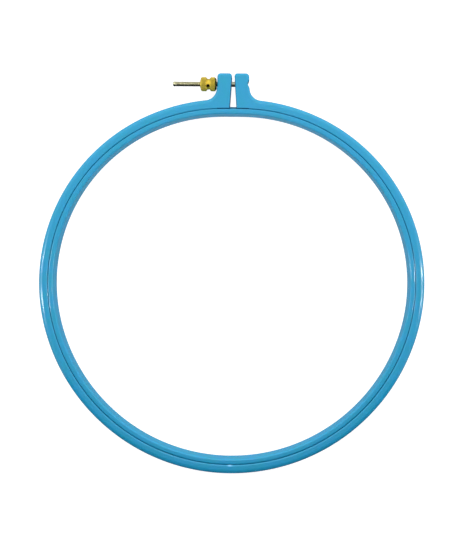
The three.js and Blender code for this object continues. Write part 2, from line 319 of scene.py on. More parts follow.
# 1 on an open face, and less the nearer a wall stands over it: the measure for the painted shade
def opennessOf(tree, look):
    ownView, anyView = (
        addNode(tree, "ShaderNodeAmbientOcclusion", {"Distance": reach},
                only_local=isOwn, samples=look["shadeSamples"]).outputs["AO"]
        for reach, isOwn in zip(look["shadeReach"], (True, False)))
    return mathOf(tree, "MINIMUM", ownView, anyView)


def makePlastic():
    look = plasticLook
    material, tree, shader = startMaterial("hoopPlastic", look["values"])
    place = addNode(tree, "ShaderNodeTexCoord").outputs["Object"]
    marks = noiseOf(tree, stretchOf(tree, aroundRings(tree, place), look["markStretch"]), *look["markNoise"])
    drift = noiseOf(tree, place, *look["driftNoise"])
    rough = noiseOf(tree, place, *look["wearNoise"])
    worn = mathOf(tree, "MULTIPLY", storedOn(tree, "edgeWear"), rangeOf(tree, rough, 0.0, look["wearShare"]))
    openness = opennessOf(tree, look)
    colour = mixOf(tree, rangeOf(tree, drift, 0.0, 1.0), look["colour"], look["drift"])
    colour = mixOf(tree, worn, colour, look["rubbed"])
    # painted shade near walls
    colour = mixOf(tree, rangeOf(tree, openness, *look["shadeMix"]), look["paintedShade"], colour)
    # painted shade on the walls of the gap and the bore
    colour = mixOf(tree, storedOn(tree, "gapShade"), colour, look["paintedShade"])
    # painted highlight on the seam's edge at the bottom
    colour = mixOf(tree, storedOn(tree, "paintedGlintShare"), colour, look["paintedGlint"])
    markGloss = rangeOf(tree, marks, 0.0, look["markGloss"])
    gloss = mathOf(tree, "ADD", rangeOf(tree, rough, *look["gloss"]), markGloss)
    wave = bumpOf(tree, noiseOf(tree, place, *look["waveNoise"]), look["waveDepth"])
    dimples = bumpOf(tree, noiseOf(tree, place, *look["dimpleNoise"]), look["dimpleDepth"], Normal=wave)
    scored = bumpOf(tree, marks, look["markDepth"], Normal=dimples)
    tree.links.new(colour, shader.inputs["Base Color"])
    # the shine is lowered in hollows, as painted shade
    tree.links.new(rangeOf(tree, openness, *look["hollowShine"]), shader.inputs["Specular IOR Level"])
    tree.links.new(gloss, shader.inputs["Roughness"])
    tree.links.new(scored, shader.inputs["Normal"])
    return material


# Metal whose colour and gloss drift in soft clouds: the parts that both metals share
def startMetal(name, look):
    material, tree, shader = startMaterial(name, {"Metallic": 1.0})
    place = addNode(tree, "ShaderNodeTexCoord").outputs["Object"]
    cloud = noiseOf(tree, place, *look["cloudNoise"])
    colour = mixOf(tree, rangeOf(tree, cloud, 0.0, look["cloudShare"]), look["colour"], look["cloudColour"])
    tree.links.new(rangeOf(tree, cloud, *look["gloss"]), shader.inputs["Roughness"])
    return material, tree, shader, place, colour


# Material: turned and knurled brass. Tarnish lies in soft clouds, the cuts are darker with tarnish and
# painted shade, the end by the lug has painted shade, green with the painted reflection of the blue lug,
# and the tool has left rings round the axis.
brassLook = {
    "colour": (0.90, 0.68, 0.105, 1),
    "cloudColour": (0.74, 0.57, 0.065, 1),
    # tarnish and painted shade in the cuts
    "grimeAndShade": (0.040, 0.036, 0.008, 1),
    # painted shade by the lug, green with the painted reflection of the blue lug
    "paintedLugShade": (0.004, 0.020, 0.008, 1),
    "gloss": (0.40, 0.52),
    "cloudNoise": (420.0, 4.0, 0.6),
    "cloudShare": 0.8,
    "cutMix": (0.0, 0.75, 0.15, 1.0),        # share of the tarnish and painted shade, and the depth of cut that this spans
    "ringNoise": (5200.0, 2.0),
    "ringStretch": (1.0, 0.03, 0.03),
    "ringDepth": 0.000010,
}


def makeBrass():
    look = brassLook
    material, tree, shader, place, colour = startMetal("nutBrass", look)
    # cuts darker with tarnish and painted shade
    colour = mixOf(tree, rangeOf(tree, storedOn(tree, "cutDepth"), *look["cutMix"]), colour, look["grimeAndShade"])
    # painted shade and reflection by the lug
    colour = mixOf(tree, storedOn(tree, "lugShadeShare"), colour, look["paintedLugShade"])
    rings = noiseOf(tree, stretchOf(tree, place, look["ringStretch"]), *look["ringNoise"])
    tree.links.new(colour, shader.inputs["Base Color"])
    tree.links.new(bumpOf(tree, rings, look["ringDepth"]), shader.inputs["Normal"])
    return material


# Material: plated steel with a dull yellow-grey film. The roots of the thread are darker with an oily
# film and painted shade, the side that faces the rings has painted shade, and the plain neck has the
# painted shade of the lugs, green-grey with the painted reflection of their blue.
steelLook = {
    "colour": (0.86, 0.84, 0.57, 1),
    "cloudColour": (0.72, 0.70, 0.45, 1),
    # oily film and painted shade in the roots, painted shade on the side that faces the rings
    "grimeAndShade": (0.030, 0.026, 0.020, 1),
    # painted shade of the lugs on the neck between them, green-grey with the painted reflection of their
    # blue
    "neck": (0.34, 0.38, 0.32, 1),
    "gloss": (0.30, 0.42),
    "cloudNoise": (360.0, 4.0, 0.6),
    "cloudShare": 0.8,
    "rootMix": (0.0, 0.7, 0.35, 1.0),        # share of the oily film and painted shade, and the depth of thread that this spans
    "grainNoise": (4000.0, 2.0),
    "grainDepth": 0.000008,
}


def makeSteel():
    look = steelLook
    material, tree, shader, place, colour = startMetal("screwSteel", look)
    # painted shade and reflection on the neck between the lugs
    colour = mixOf(tree, storedOn(tree, "neckShadeShare"), colour, look["neck"])
    colour = mixOf(tree, rangeOf(tree, storedOn(tree, "cutDepth"), *look["rootMix"]), colour, look["grimeAndShade"])
    # painted shade on the side that faces the rings
    colour = mixOf(tree, storedOn(tree, "sideShadeShare"), colour, look["grimeAndShade"])
    grain = noiseOf(tree, place, *look["grainNoise"])
    tree.links.new(colour, shader.inputs["Base Color"])
    tree.links.new(bumpOf(tree, grain, look["grainDepth"]), shader.inputs["Normal"])
    return material


plastic, brass, steel = makePlastic(), makeBrass(), makeSteel()
print("materials: plastic, brass and steel")


# Inner ring: a lipped section carried along the path of the rings
innerRing = {
    "wallDraft": 0.2,                  # thicker at the foot by this much
    "lipThickness": 1.4,
    "lipEnd": 129.9,
    "footRound": 0.45,
    "wallEdge": (1.1, 1.1),            # how far the top edges reach in and drop
    "seamEdge": (0.9, 0.9),
    "lipRootRound": 0.25,
    "lipRound": 0.45,
    "wornDrop": 0.9,                   # the top edges are rubbed from this far down
    "wornFade": 0.8,                   # growing over this height
    "wornReach": 1.1,                  # and this far in from the sides
    "arcSteps": 9,
    "pointStep": 1.2,                  # longest step between points of the section
    "steps": 900,
    "sharp": 40,                       # degrees
}


# Each section point (radius, z) goes to ringPlace(radius, angle) at every angle. Its wear is
# smooth((z - top + drop) / fade) * (1 - smooth(inside / reach)), inside the nearer side.
def makeInnerRing():
    ring = innerRing
    seam = layout["seamRadius"] - layout["seamGap"] / 2
    wall = layout["innerRadius"]
    top = topPoints(wall, seam, layout["top"], ring["wallEdge"], ring["seamEdge"], ring["arcSteps"])
    lower = roundedCorners([
        (*top[-1], 0),
        (seam, ring["lipThickness"], ring["lipRootRound"]),
        (ring["lipEnd"], ring["lipThickness"], ring["lipRound"]),
        (ring["lipEnd"], 0, ring["lipRound"]),
        (wall - ring["wallDraft"], 0, ring["footRound"]),
        (*top[0], 0),
    ], ring["arcSteps"])
    section = refined(np.vstack([top, lower[1:]]), ring["pointStep"])[:-1]
    x, y = ringPlace(section[:, 0], circleAngles(ring["steps"])[:, None])
    z = section[:, 1] + 0 * x
    points = np.stack([x, y + ringY, z], -1).reshape(-1, 3)
    piece = newObject("hoopInnerRing", points, gridFaces(*x.shape, True, True))
    atTop = smoothStep((z - layout["top"] + ring["wornDrop"]) / ring["wornFade"])
    inside = np.minimum(section[:, 0] - wall, seam - section[:, 0]) + 0 * x
    storeValue(piece, "edgeWear", atTop * (1 - smoothStep(inside / ring["wornReach"])))
    finishMesh(piece, ring["sharp"])
    piece.data.materials.append(plastic)
    return piece


innerPiece = makeInnerRing()
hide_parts("inner_ring")
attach(innerPiece, "inner_ring")
print("inner ring:", len(innerPiece.data.polygons), "faces")


# Outer ring: a plate with rounded edges whose outline takes in the ring, its gap and both lugs
outerRing = {
    "outerEdge": (3.3, 2.2),           # how far the top edges reach in and drop
    "seamEdge": (1.2, 0.7),
    "outerFootRound": 1.5,
    "seamFootRound": 0.5,
    "lugEdge": 1.9,
    "gapEdge": 0.5,
    "seamFade": (9.0, 22.0),           # the seam's edge grows from the lugs' to its own over this stretch
    "lugHalfSpan": 11.05,
    "gapAtTop": 1.4,
    "gapAtSeam": 4.6,
    "flareBelowScrew": 1.5,
    "flare": math.radians(8),
    "flareBend": 10.0,
    "fillet": 8.3,
    "rootSwell": 0.35,                 # the outer edge stands out this much more under the lugs
    "rootSpan": math.radians(26),      # and is back on its path this far off the top
    "outerCorner": 2.4,
    "gapCorner": 2.3,
    "seamCorner": 0.7,
    "boreRadius": 2.15,
    "pocketRadius": 4.0,
    "pocketFloor": 7.95,
    "boreSides": 96,
    "cutterReach": 24.0,
    "rimBevel": 0.30,                  # on the edges of the bore and pocket
    "bevelSegments": 2,
    "bevelFrom": math.radians(38),
    "ringSteps": 420,                  # on each half
    "neckSteps": 40,                   # on the seam, under each lug
    "arcSteps": 14,
    "edgeSteps": 12,
    "plateSharp": 30,                  # degrees, before and after the bore is cut
    "sharp": 40,
    "wornDrop": 0.6,                   # edges that drop further than this are rubbed
    "gapShade": 0.9,                   # strength of the painted shade on the walls of the gap, and on those of the bore
    "boreShade": 0.8,
    "shadeSpread": 4.0,                # above 1 the painted shade of the walls reaches up their rounded edges
    "glintSide": -0.3,                  # a small painted highlight on the seam's edge at the bottom
    "glintSpan": 1.3,
    "glintSpread": 1.3,                 # above 1 it takes up more of the edge
    "edgeSlack": 0.01,                 # edges within this are of one form
}

# Steps of the searches for where outlines meet, and of the slope there
search = {
    "angleRounds": 12,
    "filletHalvings": 40,
    "filletSpan": math.radians(30),    # the fillet starts within this of the lug's side
    "slopeStep": 1e-4,
}


# Angle at which the path of a radius is this far to the side of the gap's middle
def angleAtSide(radius, side):
    angle = 0.0
    for _ in range(search["angleRounds"]):
        angle = math.asin(side / (radius - float(clampPull(angle))))
    return angle


# radius = outer radius + swell * (1 + cos(half turn * angle / span)) / 2, up to the span
def outerPlace(angle):
    share = np.minimum(1.0, np.abs(angle) / outerRing["rootSpan"])
    swell = outerRing["rootSwell"] * (1 + np.cos(math.pi * share)) / 2
    return np.array(ringPlace(layout["outerRadius"] + swell, angle))


# Unit step outwards from the outer edge, square to the line between two places close by
def outwardAt(angle):
    along = outerPlace(angle + search["slopeStep"]) - outerPlace(angle - search["slopeStep"])
    along /= np.linalg.norm(along)
    return np.array([-along[1], along[0]])


# The fillet's circle stands on the outer edge of the ring and touches the flare of the lug
def filletCircle(flareTop, flareNormal):
    fillet = outerRing["fillet"]
    low = angleAtSide(layout["outerRadius"], outerRing["lugHalfSpan"])
    high = low + search["filletSpan"]
    for _ in range(search["filletHalvings"]):
        middle = (low + high) / 2
        centre = outerPlace(middle) + fillet * outwardAt(middle)
        if (centre - flareTop) @ flareNormal > fillet:
            high = middle
        else:
            low = middle
    return centre, high


# Right half of the outline as rows of (x, y, edge form), from the bottom of the seam up to the gap,
# round the lug and down the outer edge. An edge's form is how far its top reaches in, how far that
# drops, and the rounding of its foot.
def halfOutline():
    ring = outerRing
    seam = layout["seamRadius"] + layout["seamGap"] / 2
    lean = np.array([math.sin(ring["flare"]), -math.cos(ring["flare"])])
    flareTop = np.array([ring["lugHalfSpan"], screwReach - ring["flareBelowScrew"]])
    flareNormal = np.array([-lean[1], lean[0]])
    fillet, filletAngle = filletCircle(flareTop, flareNormal)
    gapFoot = np.array(ringPlace(seam, angleAtSide(seam, ring["gapAtSeam"] / 2)))
    seamStop = angleAtSide(seam, ring["gapAtSeam"] / 2 + 2 * ring["seamCorner"])
    ringAngles = np.linspace(math.pi, filletAngle, ring["ringSteps"] + 1)
    neckAngles = np.linspace(filletAngle, seamStop, ring["neckSteps"] + 1)[1:]
    seamX, seamY = ringPlace(seam, np.concatenate([ringAngles, neckAngles]))
    outerEdge = np.array([*ring["outerEdge"], ring["outerFootRound"]])
    seamEdge = np.array([*ring["seamEdge"], ring["seamFootRound"]])
    lugEdge, gapEdge = np.full(3, ring["lugEdge"]), np.full(3, ring["gapEdge"])
    fadeStart, fadeEnd = ring["seamFade"]
    faded = np.where(seamY < 0, 1.0, smoothStep((np.abs(seamX) - fadeStart) / (fadeEnd - fadeStart)))
    seamForm = gapEdge + (seamEdge - gapEdge) * faded[:, None]
    corners = [
        (seamX[-1], seamY[-1], 0),
        (*gapFoot, ring["seamCorner"]),
        (ring["gapAtTop"] / 2, lugTop, ring["gapCorner"]),
        (ring["lugHalfSpan"], lugTop, ring["outerCorner"]),
        (*flareTop, ring["flareBend"]),
        (*(flareTop + lean), 0),
    ]
    lug = roundedCorners(corners, ring["arcSteps"])[1:-1]
    arc = ring["arcSteps"] + 1
    lugShadeShare = np.concatenate([np.zeros(arc), np.linspace(0, 1, arc), np.ones(2 * arc)])
    lugForm = gapEdge + (lugEdge - gapEdge) * lugShadeShare[:, None]
    onRing = outerPlace(filletAngle) - fillet
    start = math.atan2(-flareNormal[1], -flareNormal[0])
    sweep = math.remainder(math.atan2(onRing[1], onRing[0]) - start, fullTurn)
    share = np.linspace(0, 1, 2 * arc)
    turn = start + sweep * share
    filletPoints = fillet + ring["fillet"] * np.stack([np.cos(turn), np.sin(turn)], -1)
    filletForm = lugEdge + (outerEdge - lugEdge) * share[:, None]
    outerX, outerY = outerPlace(ringAngles[::-1][1:])
    return np.vstack([
        np.column_stack([seamX, seamY, seamForm]),
        np.column_stack([lug, lugForm]),
        np.column_stack([filletPoints, filletForm]),
        np.column_stack([outerX, outerY, outerEdge + 0 * outerX[:, None]]),
    ])


# Step that moves both sides next to each outline point outwards by one millimetre
def outwardSteps(places):
    arrive = places - np.roll(places, 1, axis=0)
    leave = np.roll(places, -1, axis=0) - places
    arrive, leave = (side / np.linalg.norm(side, axis=1)[:, None] for side in (arrive, leave))
    arrive, leave = (np.stack([-side[:, 1], side[:, 0]], -1) for side in (arrive, leave))
    return (arrive + leave) / (1 + np.sum(arrive * leave, axis=1))[:, None]


# Layers of the plate: at a turn t of an edge, the outline is drawn in by reach * (1 - cos t) and
# lies drop * (1 - sin t) inside the face
def plateLayers(outline, turn):
    places = outline[:, :2]
    reach, drop, foot = outline[:, 2:].T
    outward = outwardSteps(places)
    away, inside = 1 - np.cos(turn), 1 - np.sin(turn)
    drawn = np.vstack([(foot * away)[::-1], reach * away])
    x = places[:, 0] - outward[:, 0] * drawn
    y = places[:, 1] - outward[:, 1] * drawn
    z = np.vstack([(layout["outerFoot"] + foot * inside)[::-1], layout["top"] - drop * inside])
    return x, y, z


# One flat side of the plate: quads across the ring's width, and triangles over the lug, for the
# right half and for its mirror image
def sideFaces(x, y, halfCount):
    strip = outerRing["ringSteps"]
    last = halfCount - 1
    low = np.arange(strip)
    quads = np.stack([low, low + 1, last - low - 1, last - low], -1)
    lugLoop = np.arange(strip, last - strip + 1)
    places = np.stack([x, y, 0 * x], -1)[lugLoop]
    triangles = lugLoop[np.array(tessellate_polygon([[Vector(place) for place in places]]))]
    return [np.vstack([faces, (2 * last - faces) % len(x)]) for faces in (quads, triangles)]


# Rubbed edges sin(2 * turn), painted shade on the gap's walls smooth(spread * cos(turn)), and the
# painted highlight exp(-((x - side) / span)^2) * smooth(spread * sin(2 * turn)). The plate's lower layers
# have none.
def storeMarks(piece, outline, turn):
    ring = outerRing
    x, y, _, drop, foot = outline.T
    slack = ring["edgeSlack"]
    wear = np.sin(2 * turn) * (drop > ring["wornDrop"])
    # painted shade on the walls of the gap
    wall = smoothStep(ring["shadeSpread"] * np.cos(turn))
    shade = ring["gapShade"] * wall * (drop < ring["gapEdge"] + slack)
    # painted highlight on the seam's edge
    onEdge = smoothStep(ring["glintSpread"] * np.sin(2 * turn))
    onSeam = (y < 0) * (foot < ring["seamFootRound"] + slack) * onEdge
    paintedGlint = np.exp(-((x - ring["glintSide"]) / ring["glintSpan"]) ** 2) * onSeam
    for name, values in (("edgeWear", wear), ("gapShade", shade), ("paintedGlintShare", paintedGlint)):
        storeValue(piece, name, np.vstack([0 * values, values]))


# The plate's layers closed by its two flat sides, with the bore and the pocket cut out
def makeOuterRing():
    ring = outerRing
    half = halfOutline()
    outline = np.vstack([half, half[1:-1][::-1] * (-1, 1, 1, 1, 1)])
    turn = np.linspace(0, quarter, ring["edgeSteps"] + 1)[:, None]
    x, y, z = plateLayers(outline, turn)
    points = np.stack([x, y + ringY, z], -1).reshape(-1, 3)
    layers, count = x.shape
    faces = gridFaces(layers, count, False, True).tolist()
    caps = sideFaces(x[-1], y[-1], len(half))
    for first in (0, (layers - 1) * count):
        for cap in caps:
            faces += (cap + first).tolist()
    piece = newObject("hoopOuterRing", points, faces)
    storeMarks(piece, outline, turn)
    finishMesh(piece, ring["plateSharp"])
    cutAway(piece, makeClampCutter())
    bevel = piece.modifiers.new("rims", "BEVEL")
    bevel.width, bevel.segments = ring["rimBevel"] * mm, ring["bevelSegments"]
    bevel.limit_method, bevel.angle_limit = "ANGLE", ring["bevelFrom"]
    bevel.use_clamp_overlap = True
    finishMesh(piece, ring["sharp"])
    piece.data.materials.append(plastic)
    return piece


# Stepped rod along the clamp's axis: the bore, and the pocket of the screw's head
def makeClampCutter():
    ring = outerRing
    reach, floor = ring["cutterReach"], ring["pocketFloor"]
    bore, pocket = ring["boreRadius"], ring["pocketRadius"]
    profile = [(-reach, 0), (-reach, bore), (floor, bore), (floor, pocket), (reach, pocket), (reach, 0)]
    along, radius = np.array(profile, float).T
    turn = circleAngles(ring["boreSides"])
    points = turnedPoints(along, radius[:, None] + 0 * turn, turn)
    cutter = newObject("clampCutter", points, gridFaces(len(along), len(turn), False, True))
    # painted shade on the walls of the bore and pocket that it cuts
    storeValue(cutter, "gapShade", np.full(len(points), ring["boreShade"]))
    finishMesh(cutter, ring["sharp"])
    return cutter


outerPiece = makeOuterRing()
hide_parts("outer_ring")
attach(outerPiece, "outer_ring")
print("outer ring:", len(outerPiece.data.polygons), "faces")


# Screw: tip, rolled thread, plain neck and slotted head, turned about the clamp's axis
screw = {
    "tip": -41.75,
    "headSeat": 8.25,
    "crestRadius": 1.75,
    "rootRadius": 1.38,
    "neckRadius": 1.74,
    "tipChamfer": 0.5,
    "pitch": 0.794,
    "flank": 1.25,                     # steepness of the groove's sides
    "threadEnd": -5.5,                 # the plain neck begins here, inside the left lug
    "runOut": 1.2,
    "neckShadeFade": 2.0,                   # the neck's painted shade sets in over this length
    "neckStop": 0.3,                   # the neck's last row of points is this far from the head
    "headRadius": 3.3,
    "headThickness": 1.3,
    "headCrown": 0.5,
    "seatRound": 0.12,
    "headRound": 0.35,
    "domeRise": 0.6,                   # shares of the crown and of the radius that the dome takes
    "domeReach": 0.86,
    "domeSteps": 8,
    "slotWidth": 0.85,
    "slotDepth": 0.8,
    "slotTurn": math.radians(34),
    "slotOverrun": 1.0,                # of the slot's cutter past the head's rim
    "slotCutterHeight": 3.0,
    "oil": 0.93,                       # how dark the painted shade on the side that faces the rings is
    "sideShadeStart": 0.12,                  # of the radius, towards the rings
    "sideShadeFade": 0.40,
    "rowsPerPitch": 14,
    "arcSteps": 5,
    "sides": 56,
    "sharp": 32,                       # degrees
}


# Profile (along, radius) of the head: the seat, the rounded rim, and a dome. The dome's points are
# along = top - rise * (1 - smooth(share)) * (1 - share) and radius = reach * (1 - share), share 0 to 1.
def headPoints():
    part = screw
    seat, radius = part["headSeat"], part["headRadius"]
    top = seat + part["headThickness"]
    rise, reach = part["headCrown"] * part["domeRise"], radius * part["domeReach"]
    rim = roundedCorners([
        (seat, part["neckRadius"], 0),
        (seat, radius, part["seatRound"]),
        (top - part["headCrown"], radius, part["headRound"]),
        (top - rise, reach, 0),
    ], part["arcSteps"])
    share = np.linspace(0, 1, part["domeSteps"] + 1)[1:]
    dome = np.stack([top - rise * (1 - smoothStep(share)) * (1 - share), reach * (1 - share)], -1)
    return np.vstack([rim, dome])


# radius = crest - depth * cut(phase), phase = along / pitch - turn / full turn, so the groove winds
# as a right-hand thread; the cut fades out at both ends. The painted shade on the side that faces the
# rings is smooth((-cos(turn) - start) / fade).
def makeScrew():
    part = screw
    tip, crest, neck = part["tip"], part["crestRadius"], part["neckRadius"]
    chamfer, threadEnd, runOut = part["tipChamfer"], part["threadEnd"], part["runOut"]
    threadRows = np.arange(tip + chamfer, threadEnd + runOut, part["pitch"] / part["rowsPerPitch"])
    head = headPoints()
    along = np.concatenate([[tip, tip], threadRows, [part["headSeat"] - part["neckStop"]], head[:, 0]])
    base = np.concatenate([[0, crest - chamfer], 0 * threadRows + crest, [neck], head[:, 1]])
    turn = circleAngles(part["sides"])
    phase = along[:, None] / part["pitch"] - turn / fullTurn
    slope = np.abs(2 * (phase - np.floor(phase)) - 1)
    cut = smoothStep(part["flank"] * slope - (part["flank"] - 1) / 2)
    fromTip = smoothStep((along - tip - chamfer) / runOut)
    toNeck = smoothStep((threadEnd - along) / runOut)
    isThread = np.isin(along, threadRows)
    share = (fromTip * toNeck * isThread)[:, None]
    swell = (neck - crest) * smoothStep((along - threadEnd) / runOut) * isThread
    radius = (base + swell)[:, None] - (crest - part["rootRadius"]) * cut * share
    piece = newObject("clampScrew", turnedPoints(along, radius, turn),
                      gridFaces(len(along), len(turn), False, True))
    towardsRings = smoothStep((-np.cos(turn) - part["sideShadeStart"]) / part["sideShadeFade"])
    storeValue(piece, "cutDepth", cut * share)
    # painted shade on the neck between the lugs
    storeValue(piece, "neckShadeShare", smoothStep((along[:, None] - threadEnd) / part["neckShadeFade"]) + 0 * radius)
    # painted shade on the side that faces the rings
    storeValue(piece, "sideShadeShare", part["oil"] * towardsRings + 0 * radius)
    finishMesh(piece, part["sharp"])
    cutAway(piece, makeSlotCutter())
    finishMesh(piece, part["sharp"])
    piece.data.materials.append(steel)
    return piece


# Bar across the head, turned about the clamp's axis
def makeSlotCutter():
    part = screw
    reach, half = part["headRadius"] + part["slotOverrun"], part["slotWidth"] / 2
    side = np.array([[-reach, -half], [reach, -half], [reach, half], [-reach, half]])
    y, z = turnedPair(*side.T, part["slotTurn"])
    floor = part["headSeat"] + part["headThickness"] - part["slotDepth"]
    low = np.stack([0 * y + floor, y + screwY, z + screwZ], -1)
    high = low + (part["slotCutterHeight"], 0, 0)
    faces = gridFaces(2, len(side), False, True).tolist() + [[3, 2, 1, 0], [4, 5, 6, 7]]
    cutter = newObject("slotCutter", np.vstack([low, high]), faces)
    finishMesh(cutter, part["sharp"])
    return cutter


screwPiece = makeScrew()
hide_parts("clamp_screw")
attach(screwPiece, "clamp_screw")
print("screw:", len(screwPiece.data.polygons), "faces")


# Nut: boss, inner roll, neck with a cross hole, outer roll and collar
nut = {
    "seat": -11.645,
    "boreRadius": 1.80,
    "boreChamfer": 0.25,
    "rollRadius": 4.8,
    "neckRadius": 3.6,
    "collarRadius": 2.7,
    "bossLength": 0.4,
    "innerRollLength": 4.15,
    "neckLength": 1.7,
    "coneLength": 0.75,
    "outerRollLength": 3.9,
    "collarLength": 0.35,
    "rollChamfer": 0.8,
    "coneChamfer": 0.25,
    "bossRounds": (0.18, 0.1),         # at its end and at its root
    "rollRounds": (0.3, 0.12),         # where the chamfer meets the roll, and its flat face
    "neckRounds": (0.2, 0.35),         # at the inner roll and at the cone
    "collarRounds": (0.08, 0.2),
    "mouthRound": 0.05,
    "teeth": 36,
    "toothDepth": 0.22,
    "toothFullness": 0.8,              # below 1 the grooves are wider than the ridges
    "rollFade": (0.45, 0.4),           # the teeth set in this far below the roll, and grow over this
    "lugShadeStrength": 0.95,                      # how dark the painted shade on the end by the lug is
    "lugShadeReach": 1.1,                  # of the inner roll's chamfer
    "lugShadeFade": 0.35,
    "holeRadius": 1.2,
    "holeTurn": math.radians(31),      # off +Z, towards the rings
    "holeReach": 9.0,
    "holeSides": 48,
    "sidesPerTooth": 8,
    "arcSteps": 5,
    "pointStep": 0.5,
    "sharp": 50,                       # degrees
    "cutterSharp": 40,
}


# Points (along, radius) from the mouth of the bore at the lug, over the rolls, to the other mouth
def nutCorners():
    part = nut
    bore, roll, neck, collar = (part[key + "Radius"] for key in ("bore", "roll", "neck", "collar"))
    mouth, chamfer, coneChamfer = part["boreChamfer"], part["rollChamfer"], part["coneChamfer"]
    mouthRound, (rollRound, faceRound) = part["mouthRound"], part["rollRounds"]
    bossRound, bossRoot = part["bossRounds"]
    neckRound, coneRound = part["neckRounds"]
    collarRoot, collarRound = part["collarRounds"]
    boss = part["bossLength"]
    innerEnd = boss + part["innerRollLength"]
    neckEnd = innerEnd + part["neckLength"]
    outerStart = neckEnd + part["coneLength"]
    outerEnd = outerStart + part["outerRollLength"]
    nutEnd = outerEnd + part["collarLength"]
    return [
        (mouth, bore, 0),
        (0, bore + mouth, mouthRound),
        (0, neck, bossRound),
        (boss, neck, bossRoot),
        (boss, roll - chamfer, faceRound),
        (boss + chamfer, roll, rollRound),
        (innerEnd - chamfer, roll, rollRound),
        (innerEnd, roll - chamfer, faceRound),
        (innerEnd, neck, neckRound),
        (neckEnd, neck, coneRound),
        (outerStart, roll - coneChamfer, faceRound),
        (outerStart + coneChamfer, roll, faceRound),
        (outerEnd - chamfer, roll, rollRound),
        (outerEnd, roll - chamfer, faceRound),
        (outerEnd, collar, collarRoot),
        (nutEnd, collar, collarRound),
        (nutEnd, bore + mouth, mouthRound),
        (nutEnd - mouth, bore, 0),
    ]


# radius = profile - depth * ((1 - cos(teeth * turn)) / 2)^fullness, where the profile is a roll. The
# painted shade by the lug is smooth((end - along) / fade).
def makeNut():
    part = nut
    profile = refined(roundedCorners(nutCorners(), part["arcSteps"]), part["pointStep"])
    along, base = profile.T
    turn = circleAngles(part["teeth"] * part["sidesPerTooth"])
    tooth = ((1 - np.cos(part["teeth"] * turn)) / 2) ** part["toothFullness"]
    start, fade = part["rollFade"]
    onRoll = smoothStep((base - part["rollRadius"] + start) / fade)[:, None]
    radius = base[:, None] - part["toothDepth"] * tooth * onRoll
    points = turnedPoints(part["seat"] - along, radius, turn)
    piece = newObject("thumbNut", points, gridFaces(len(along), len(turn), True, True))
    # painted shade on the end by the lug
    lugShadeEnd = part["bossLength"] + part["rollChamfer"] * part["lugShadeReach"]
    byLug = smoothStep((lugShadeEnd - along) / part["lugShadeFade"])[:, None]
    storeValue(piece, "cutDepth", tooth * onRoll)
    storeValue(piece, "lugShadeShare", part["lugShadeStrength"] * byLug + 0 * tooth)
    finishMesh(piece, part["sharp"])
    cutAway(piece, makeHoleCutter())
    finishMesh(piece, part["sharp"])
    piece.data.materials.append(brass)
    return piece


# Rod across the nut's neck, leaning from +Z towards -Y
def makeHoleCutter():
    part = nut
    middle = part["bossLength"] + part["innerRollLength"] + (part["neckLength"] + part["coneLength"]) / 2
    turn = circleAngles(part["holeSides"])
    reach = np.array([-1, -1, 1, 1])[:, None] * part["holeReach"]
    radius = np.array([0, 1, 1, 0])[:, None] * part["holeRadius"]
    y, z = turnedPair(radius * np.sin(turn), reach, part["holeTurn"])
    x = part["seat"] - middle + radius * np.cos(turn)
    points = np.stack([x, y + screwY, z + screwZ], -1).reshape(-1, 3)
    cutter = newObject("holeCutter", points, gridFaces(*x.shape, False, True))
    finishMesh(cutter, part["cutterSharp"])
    return cutter


nutPiece = makeNut()
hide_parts("clamp_nut")
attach(nutPiece, "clamp_nut")
print("nut:", len(nutPiece.data.polygons), "faces")


# Studio: white floor under the hoop, a dark card round its lower side, and the sky
studio = {
    "floorHalf": 3000.0,
    "floorDrop": 0.2,                  # below the underside of the hoop
    "floorGrey": 0.8,                  # of the floor's surface, as it lights the rings
    "floorGlow": 0.65,                 # what it adds of its own there
    "shadowGrey": 0.3,                 # of its surface where it is seen, which takes the shadow
    "ownWhite": 0.93,                  # what it adds of its own there
    "mirroredWhite": 0.27,             # of the floor in reflections
    "skyGrey": 0.8,                    # of the sky as a light
    "skyLow": (1.06, 0.56),            # strength of the sky round the sides, and its rise towards +Y
    "skyTop": (0.80, 1.20),            # the same overhead
    "skyTurn": (0.60, 0.88),           # of the direction's Z, from the one to the other
    "cardSpan": (122, 238),            # degrees round the hoop that the dark card stands along
    "cardEdges": ((192, 0), (212, 150)),    # its foot and top, as distance from the middle and height
    "cardColumns": 31,
    "cardGrey": 0.015,
}


def grey(value):
    return value, value, value, 1


# Rays of the camera, straight or through glass
def seenOf(tree, path):
    return mathOf(tree, "MAXIMUM", path["Is Camera Ray"], path["Is Transmission Ray"])


def mixShaders(tree, share, first, second):
    return addNode(tree, "ShaderNodeMixShader", {0: share, 1: first, 2: second}).outputs[0]


def addShaders(tree, first, second):
    return addNode(tree, "ShaderNodeAddShader", {0: first, 1: second}).outputs[0]


def glowOf(tree, strength):
    return addNode(tree, "ShaderNodeEmission", {"Strength": strength}).outputs[0]


def mattOf(tree, value):
    return addNode(tree, "ShaderNodeBsdfDiffuse", {"Color": grey(value)}).outputs[0]


